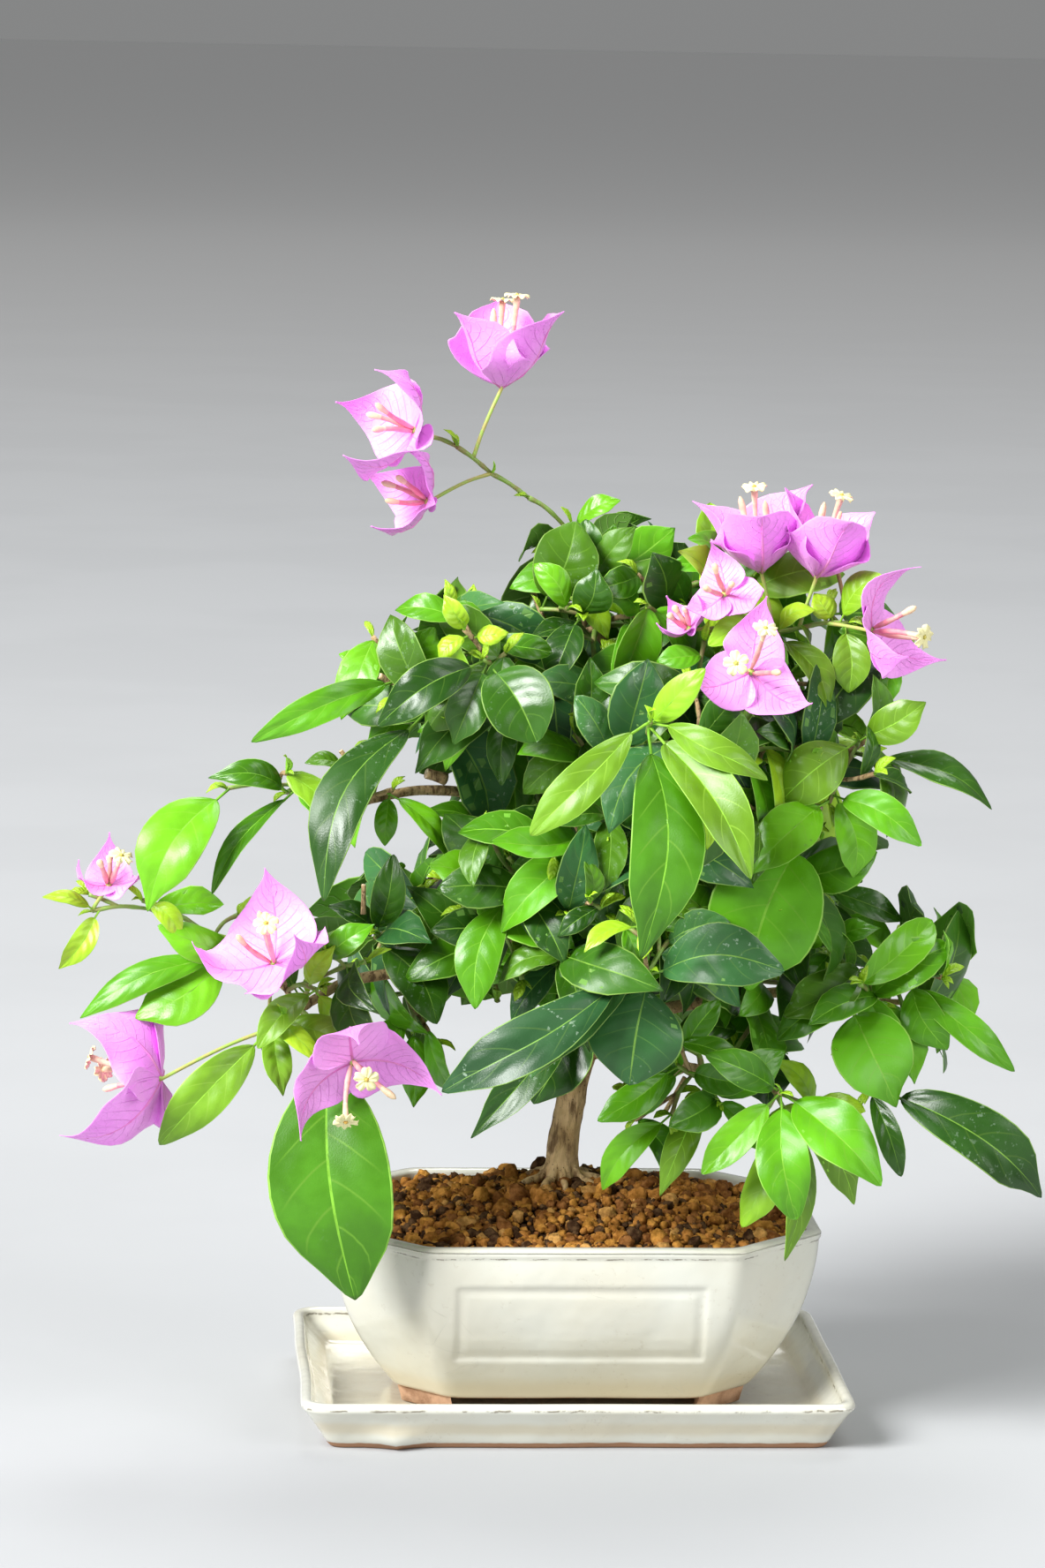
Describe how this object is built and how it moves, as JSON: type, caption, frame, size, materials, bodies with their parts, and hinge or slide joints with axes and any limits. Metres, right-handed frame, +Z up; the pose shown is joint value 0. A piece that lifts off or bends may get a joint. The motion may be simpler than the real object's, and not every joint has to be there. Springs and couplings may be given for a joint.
{
  "type": "bougainvillea bonsai",
  "caption": "Bougainvillea bonsai with pink bracts and glossy green leaves, in a cream glazed eight-sided pot filled with soil, standing on its matching drip tray.",
  "frame": {"origin": "middle of the drip tray's flat underside, on the table", "axes": "+Z up, +X to the viewer's right along the pot's length, +Y to the back, so the plant's show side faces -Y"},
  "size_m": [0.361, 0.2541, 0.4117],
  "materials": {
    "tray_glaze": "cream gloss glaze over brown stoneware",
    "pot_glaze": "cream white gloss glaze",
    "soil": "loose baked clay grains",
    "bark": "flaky light brown bark",
    "leaves": "glossy leaf",
    "bracts": "papery, matte"
  },
  "bodies": {
    "root": {"tray": "tray_glaze", "pot": "pot_glaze", "soil": "soil", "trunk": "bark", "bough_low_left": "bark", "bough_arm_left": "bark", "bough_high_left": "bark", "bough_crown_left": "bark", "bough_crown": "bark", "bough_high_right": "bark", "bough_right": "bark", "bough_mid_right": "bark", "bough_low_right": "bark", "bough_hanging_right": "bark", "bough_inner_left": "bark", "bough_middle_left": "bark", "bough_middle": "bark", "bough_front_low": "bark", "bough_back_low": "bark", "bough_back_left": "bark", "bough_back_middle": "bark", "bough_back_right": "bark", "bough_back_high": "bark", "bough_back_high_left": "bark", "foliage_low_left": "leaves", "foliage_arm_left": "leaves", "foliage_high_left": "leaves", "foliage_crown_left": "bracts", "foliage_crown": "leaves", "foliage_high_right": "leaves", "foliage_right": "leaves", "foliage_mid_right": "leaves", "foliage_low_right": "leaves", "foliage_hanging_right": "leaves", "foliage_inner_left": "leaves", "foliage_middle_left": "leaves", "foliage_middle": "leaves", "foliage_front_low": "leaves", "foliage_back_low": "leaves", "foliage_back_left": "leaves", "foliage_back_middle": "leaves", "foliage_back_right": "leaves", "foliage_back_high": "leaves", "foliage_back_high_left": "leaves"}
  },
  "joints": []
}
